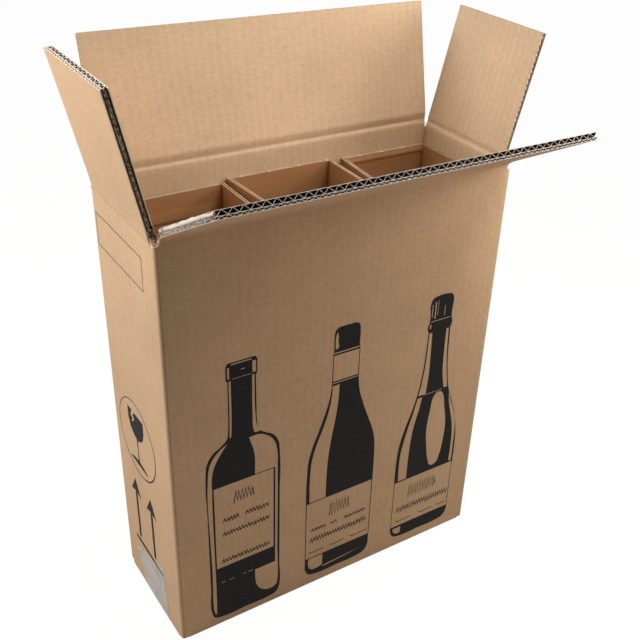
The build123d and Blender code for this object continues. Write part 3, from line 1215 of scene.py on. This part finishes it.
class CARTON_OT_bottle_print(bpy.types.Operator):
    """Three plain bottle figures printed on the front wall"""

    bl_idname = "carton.bottle_print"
    bl_label = "Bottle Print"

    def execute(self, context):
        sizes = context.scene.print_sizes
        pen = sizes.pen / MM
        bottles = {
            "straight_bottle": (63.8, 10.0, self.straight_bottle(pen)),
            "sloped_bottle": (161.5, 12.3, self.sloped_bottle(pen)),
            "corked_bottle": (260.0, 13.3, self.corked_bottle(pen)),
        }
        origin = (CARTON_LOW[0], CARTON_LOW[1], 0)
        for name, (axis, base, fields) in bottles.items():
            moved = []
            for loops, smooth in fields:
                loops = [[(place[0] + axis, place[1] + base) + place[2:] for place in loop] for loop in loops]
                moved.append((loops, smooth))
            print_figure(name, moved, origin, Vector((0, -1, 0)), sizes.lift)
        return {"FINISHED"}

    def mirrored(self, half):
        """A closed outline from the points of its right half, bottom to top."""
        return half + [(-place[0],) + place[1:] for place in half[::-1] if place[0] > 0]

    def box(self, left, low, right, high):
        """A window with four sharp corners."""
        return [(left, low, 1), (right, low, 1), (right, high, 1), (left, high, 1)]

    def writing(self, rows, pen):
        """Scribbles instead of words: (start, end, middle, height) rows, the first one tall."""
        fields = []
        for number, (start, end, middle, height) in enumerate(rows):
            heights = (height, height * 0.7) if number == 0 else (height, height)
            strokes = max(4, int((end - start) / (1.5 if number == 0 else 1.45)))
            width = pen * 1.1 if number == 0 else pen * 0.95
            fields.append((scribble(start, end, middle, heights, strokes, width), False))
        return fields

    def dashes(self, rows, up, pen):
        """Short flat strokes in one row."""
        fields = []
        for start, end in rows:
            fields.append((band([(start, up + 0.8), (start + 3, up - 0.5), (end, up + 0.2)], pen), False))
        return fields

    def straight_bottle(self, pen):
        """A bottle with square shoulders."""
        outline = self.mirrored([
            (0, 0), (26, 0.2), (31.5, 2.5), (34.2, 9), (34.3, 40), (34.3, 120), (34.2, 170), (32.6, 180.5),
            (27.5, 188.5), (20, 193.6), (14.6, 198.5), (13.1, 207), (12.6, 225), (12.4, 254, 1),
            (13.7, 254.5, 1), (13.9, 267.5, 1), (12, 270.7, 1)])
        neck_left = [(-11.4, 254, 1), (-9.6, 254, 1), (-9.7, 215), (-10.3, 200, 1), (-12, 199, 1),
                     (-11.6, 215)]
        neck_right = [(9, 254, 1), (11.2, 254, 1), (11.6, 215), (13, 203), (15.5, 196.5, 1), (11, 196.8),
                      (9.5, 201), (9, 215)]
        shoulder = [(-14, 194.5, 1), (-22, 189.5), (-29, 181), (-32.2, 168), (-32.2, 60), (-31.6, 8),
                    (-29.6, 5, 1), (-29.2, 20), (-29.2, 152), (-28.3, 168), (-24, 180), (-18, 189)]
        gleam = [(5.5, 193.3, 1), (14, 193.6), (22, 189.5), (28.5, 182), (31.8, 170), (32.2, 150), (32.2, 60),
                 (32, 14), (30, 10.8), (24, 9.5), (17, 12.5), (11.5, 20), (9.5, 30), (9.4, 41.5, 1),
                 (29.9, 41.5, 1), (29.9, 152.6, 1), (10.5, 152.6, 1), (10.2, 175)]
        windows = [neck_left, neck_right, shoulder, gleam, self.box(-27.8, 61, 28.2, 151.8),
                   self.box(-12.4, 256, -10.6, 266.5), self.box(9.4, 256, 12.6, 266.8),
                   self.box(-9, 268.3, 9, 269.4), self.box(-0.5, 261.9, 2.6, 262.7),
                   self.box(-8.5, 255.1, 8.6, 255.6), self.box(-24, 42.2, -20.5, 42.9),
                   self.box(-16.5, 42.2, -11.5, 42.9), self.box(-3, 42.2, 0.5, 42.9),
                   self.box(2.5, 42.2, 7, 42.9)]
        rows = ((-9.5, 9.2, 136, 15), (-20, -5.5, 114, 4.2), (1, 24, 114, 4.2), (-21, 24, 98.5, 4.2),
                (-23, 24, 67.5, 4.2))
        return [([outline] + windows, True)] + self.writing(rows, pen)

    def sloped_bottle(self, pen):
        """A bottle with long sloping shoulders."""
        outline = self.mirrored([
            (0, 0), (24, 0.3), (31.5, 2.8), (35.3, 9), (35.9, 20), (36, 60), (35.9, 125), (34.7, 142),
            (31, 156), (25.3, 171), (19.6, 187), (15.2, 202), (13.6, 214, 1), (13.3, 247.7, 1),
            (12.8, 249), (12.8, 262), (11.5, 269.5), (8, 271.7, 1)])
        gleam = [(-12.6, 214.5, 1), (-5.7, 214.5, 1), (-6.2, 200), (-8.2, 181), (-12.5, 154), (-14.8, 131),
                 (-15.6, 93, 1), (-32.6, 93, 1), (-32.6, 125), (-31, 142), (-27, 157), (-20.8, 173),
                 (-15.6, 190), (-13.2, 203)]
        foot = [(-32.3, 22.4, 1), (-16.5, 22.4, 1), (-16.5, 8.5, 1), (-24, 7), (-29.5, 8.5), (-32, 13.5)]
        under = [(-16, 7.2, 1), (0, 8), (29, 9.5, 1), (0, 6.6), (-16, 5.6, 1)]
        cap_gleam = [(-11.2, 250.5, 1), (-8.4, 252), (-8.8, 258), (-8.6, 263), (-10, 267.5, 1), (-11.4, 262)]
        windows = [gleam, foot, under, cap_gleam, self.box(-12.6, 218.9, 12.7, 244.7),
                   self.box(-12.9, 246.4, 12.9, 247.5), self.box(-13.1, 216.6, 13.1, 217.5),
                   self.box(-35.3, 23.5, 35.3, 92)]
        rows = ((-10.5, 11, 76, 18), (-30, -14, 58, 3), (-9, -2, 58, 3), (6, 30, 58, 3), (-31, 31, 45.5, 5.6))
        fields = [([outline] + windows, True)] + self.writing(rows, pen)
        return fields + self.dashes(((-32, -16), (-9, 8), (14, 33)), 30, pen)

    def corked_bottle(self, pen):
        """A bottle with a wired cork and foil neck."""
        outline = self.mirrored([
            (0, 0), (25, 0.4), (31.5, 2.6), (35, 8.5), (35.4, 20), (35.4, 60), (35.3, 103), (33.4, 120),
            (28.9, 137), (23.3, 153), (18.9, 168), (15.4, 187), (13.6, 203), (12.6, 225), (12.2, 237, 1),
            (13.4, 239.5), (13.5, 243.5), (12.4, 246.5), (12.4, 258), (12.9, 265), (10.5, 270.8), (5, 272.5)])
        foil_left = [(-11, 236, 1), (-8, 236, 1), (-7.3, 215), (-6.8, 195), (-8.2, 170, 1), (-16.6, 170, 1),
                     (-13.6, 188), (-12, 204)]
        foil_right = [(8, 236, 1), (10.6, 236, 1), (11.4, 215), (13.2, 195), (17, 170, 1), (12.6, 170, 1),
                      (9.2, 190), (8.2, 210)]
        body = [(-17, 167.3, 1), (-11.8, 167.3, 1), (-14, 155), (-18.6, 135), (-21.2, 105), (-21.6, 74.5, 1),
                (-31.4, 74.5, 1), (-31.6, 103), (-29.2, 120), (-25, 137), (-20.5, 153)]
        gleam = [(5, 166.8), (9, 167.2), (12, 164.6), (16.5, 147), (20, 127), (19.3, 103), (16.6, 87),
                 (13.6, 80), (7, 79.5), (3.4, 87), (0, 103), (-2.6, 127), (-0.8, 147), (1.8, 163)]
        stripe = [(20, 164, 1), (25.2, 150), (30.2, 134), (32.9, 118), (33.6, 100), (33.6, 75, 1),
                  (30.4, 75, 1), (30.6, 100), (29.4, 118), (26, 134), (21.9, 150)]
        foot = [(-32.5, 12.4, 1), (-22.8, 12.4, 1), (-22.8, 4.6, 1), (-28, 4.8), (-31.6, 8)]
        slits = [self.box(-10.6, 252, -9.8, 265), self.box(-7.4, 250, -6.2, 267),
                 self.box(-4.4, 253, -3.8, 268), self.box(-11.4, 240.6, -10, 245),
                 self.box(3.4, 251, 4.1, 261)]
        windows = slits + [foil_left, foil_right, body, gleam, stripe, foot, self.box(-34.8, 15.2, 34.8, 73),
                   self.box(-11, 168.8, 11, 169.4), self.box(-10.8, 247.2, 10.6, 247.9)]
        rows = ((-17, 16.5, 56.5, 18), (-30, 33, 36.5, 7))
        fields = [([outline] + windows, True)] + self.writing(rows, pen)
        return fields + self.dashes(((-30, -12), (-1.5, 16), (21, 33)), 21, pen)


class CARTON_OT_handling_marks(bpy.types.Operator):
    """Handling marks on the left wall: fragile glass, this way up, and an empty ruled field"""

    bl_idname = "carton.handling_marks"
    bl_label = "Handling Marks"

    def execute(self, context):
        sizes = context.scene.print_sizes
        figures = {
            "fragile_mark": self.fragile_mark(),
            "upward_mark": self.upward_mark(),
            "ruled_field": [(frame_lines(5.4, 344.2, 94.2, 372.0, 0.75), False)],
        }
        origin = (CARTON_LOW[0], CARTON_HIGH[1], 0)
        for name, fields in figures.items():
            print_figure(name, fields, origin, Vector((-1, 0, 0)), sizes.lift)
        covered = [[(57.6, 49.93), (84, 49.4), (84, 53.2), (68.7, 53.61)]]
        film = flat_figure("bar_under_tape", covered, origin, Vector((-1, 0, 0)), sizes.lift + 0.2 * MM)
        set_material(film, "ink_under_tape")
        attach(film, "carton")
        return {"FINISHED"}

    def circle(self, centre, radius, count=72):
        """Points round a circle."""
        return [(centre[0] + radius * math.cos(2 * math.pi * step / count),
                 centre[1] + radius * math.sin(2 * math.pi * step / count)) for step in range(count)]

    def fragile_mark(self):
        """A cracked stemmed glass in a ring."""
        bowl = [(33.5, 208), (42.5, 208), (39.5, 202), (43.5, 199.5), (41, 195), (45.5, 198), (46.8, 201.5),
                (43.8, 203.5), (48.5, 208), (66.2, 208), (66, 196), (63, 188), (57, 182.8), (51.5, 181.2),
                (48.5, 181.2), (43, 182.8), (37, 188), (33.8, 196)]
        stem = [(48.3, 182), (51.7, 182), (50.7, 172), (51.2, 160), (52, 157.4), (48, 157.4),
                (48.8, 160), (49.3, 172)]
        foot = [(33, 154.6), (40, 156.8), (50, 157.8), (60, 156.8), (67.2, 154.6), (67.2, 153), (33, 153)]
        ring = [self.circle((49.9, 181), 38.25), self.circle((49.7, 181.2), 37.1)[::-1]]
        return [([bowl], False), ([stem], False), ([foot], False), (ring, False)]

    def upward_mark(self):
        """Two arrows over a bar."""
        fields = []
        for centre in (34.8, 67.8):
            head = [(centre, 128.6), (centre + 10.8, 110.6), (centre + 2.3, 112.8), (centre + 2.3, 58.5),
                    (centre - 2.3, 58.5), (centre - 2.3, 112.8), (centre - 10.8, 110.6)]
            fields.append(([head], False))
        fields.append(([[(24.3, 50.6), (84, 49.4), (84, 53.2), (24.3, 54.8)]], False))
        return fields


class CARTON_OT_stage(bpy.types.Operator):
    """Floor, lamps, room light and camera"""

    bl_idname = "carton.stage"
    bl_label = "Stage"

    def execute(self, context):
        settings = context.scene.stage_settings
        self.add_floor()
        self.add_camera(context, settings)
        aim = (0, 0, 0.25)
        self.add_lamp("left_lamp", settings.left_lamp, 0.4, (-0.8, 0.25, 0.8), aim)
        top = self.add_lamp("top_lamp", settings.top_lamp, 0.5, (0.3, -0.2, 1.2), aim)
        top.data.color = (1.0, 0.97, 0.94)
        right = self.add_lamp("right_lamp", settings.right_lamp, 0.25, (0.5, -0.35, 0.62), aim)
        near = self.add_lamp("near_lamp", settings.near_lamp, 0.15, (0.38, -0.25, 0.48), aim)
        for lamp in (right, near):
            lamp.data.color = (1.0, 0.94, 0.88)
        self.light_room(context, settings.fill)
        context.scene.view_settings.view_transform = "Standard"
        return {"FINISHED"}

    def add_floor(self):
        """A pale floor that looks white to the camera and keeps the box's shadow."""
        deselect()
        bpy.ops.mesh.primitive_plane_add(size=12, location=(0, 0, -0.05 * MM))
        floor = bpy.context.object
        floor.name = "floor"
        material, tree, shader = new_material("floor_white")
        shader.inputs["Base Color"].default_value = (0.5, 0.455, 0.41, 1)
        shader.inputs["Roughness"].default_value = 0.9
        glow = tree.nodes.new("ShaderNodeEmission")
        glow.inputs["Color"].default_value = (1, 1, 1, 1)
        glow.inputs["Strength"].default_value = 1.06
        path = tree.nodes.new("ShaderNodeLightPath")
        seen = self.seen_directly(tree, path)
        seen = math_node(tree, "MULTIPLY", seen, 0.92)
        mix = tree.nodes.new("ShaderNodeMixShader")
        output = next(node for node in tree.nodes if node.type == "OUTPUT_MATERIAL")
        tree.links.new(seen, mix.inputs["Fac"])
        tree.links.new(shader.outputs["BSDF"], mix.inputs[1])
        tree.links.new(glow.outputs["Emission"], mix.inputs[2])
        tree.links.new(mix.outputs["Shader"], output.inputs["Surface"])
        set_material(floor, material.name)

    def seen_directly(self, tree, path):
        """One for rays from the camera, a mirror or a clear film, zero for light on the object."""
        seen = math_node(tree, "MAXIMUM", path.outputs["Is Camera Ray"], path.outputs["Is Glossy Ray"])
        return math_node(tree, "MAXIMUM", seen, path.outputs["Is Transmission Ray"])

    def add_camera(self, context, settings):
        """The camera at the photograph's viewing angle."""
        azimuth, elevation, roll = settings.azimuth, settings.elevation, settings.roll
        level = math.cos(elevation)
        back = Vector((math.sin(azimuth) * level, -math.cos(azimuth) * level, math.sin(elevation)))
        right = Vector((math.cos(azimuth), math.sin(azimuth), 0))
        up = back.cross(right)
        turned_right = right * math.cos(roll) + up * math.sin(roll)
        turned_up = up * math.cos(roll) - right * math.sin(roll)
        deselect()
        bpy.ops.object.camera_add()
        camera = bpy.context.object
        camera.name = "camera"
        turn = Matrix((turned_right, turned_up, back)).transposed().to_4x4()
        camera.matrix_world = Matrix.Translation(Vector(settings.target) + back * settings.distance) @ turn
        camera.data.sensor_width = 36
        camera.data.lens = settings.lens
        camera.data.shift_x = settings.shift[0]
        camera.data.shift_y = settings.shift[1]
        camera.data.clip_start = 0.01
        context.scene.camera = camera

    def add_lamp(self, name, power, size, place, target):
        """A square lamp that shines from its place at the target."""
        deselect()
        bpy.ops.object.light_add(type="AREA", location=place)
        lamp = bpy.context.object
        lamp.name = name
        lamp.data.energy = power
        lamp.data.size = size
        aim = Vector(target) - Vector(place)
        lamp.rotation_euler = aim.to_track_quat("-Z", "Y").to_euler()
        return lamp

    def light_room(self, context, strength):
        """A white background that gives the object only the room's own light."""
        world = bpy.data.worlds.new("room")
        context.scene.world = world
        world.use_nodes = True
        tree = world.node_tree
        background = tree.nodes["Background"]
        background.inputs["Color"].default_value = (1, 1, 1, 1)
        path = tree.nodes.new("ShaderNodeLightPath")
        seen = math_node(tree, "MULTIPLY", self.seen_directly(tree, path), 1 - strength)
        total = math_node(tree, "ADD", seen, strength)
        tree.links.new(total, background.inputs["Strength"])


class CARTON_PT_panel(bpy.types.Panel):
    """Lists the box's pieces in the sidebar"""

    bl_idname = "CARTON_PT_panel"
    bl_label = "Bottle Shipping Box"
    bl_space_type = "VIEW_3D"
    bl_region_type = "UI"
    bl_category = "Shipping Box"

    def draw(self, context):
        for operator in PIECES:
            self.layout.operator(operator.bl_idname)


SETTINGS = {
    "board_sizes": BoardSizes,
    "fold_sizes": FoldSizes,
    "sleeve_sizes": SleeveSizes,
    "print_sizes": PrintSizes,
    "paper_colours": PaperColours,
    "stage_settings": StageSettings,
}
PIECES = (
    CARTON_OT_materials,
    CARTON_OT_top_flaps,
    CARTON_OT_folds,
    CARTON_OT_sleeve_rims,
    CARTON_OT_corner_rims,
    CARTON_OT_bottle_print,
    CARTON_OT_handling_marks,
    CARTON_OT_stage,
)


def register():
    for name, group in SETTINGS.items():
        bpy.utils.register_class(group)
        setattr(bpy.types.Scene, name, bpy.props.PointerProperty(type=group))
    for operator in PIECES:
        bpy.utils.register_class(operator)
    bpy.utils.register_class(CARTON_PT_panel)


def unregister():
    bpy.utils.unregister_class(CARTON_PT_panel)
    for operator in reversed(PIECES):
        bpy.utils.unregister_class(operator)
    for name, group in SETTINGS.items():
        delattr(bpy.types.Scene, name)
        bpy.utils.unregister_class(group)


def main():
    """Builds every piece in order."""
    register()
    random.seed(7)
    for operator in PIECES:
        group, command = operator.bl_idname.split(".")
        getattr(getattr(bpy.ops, group), command)()


if __name__ == "__main__":
    main()
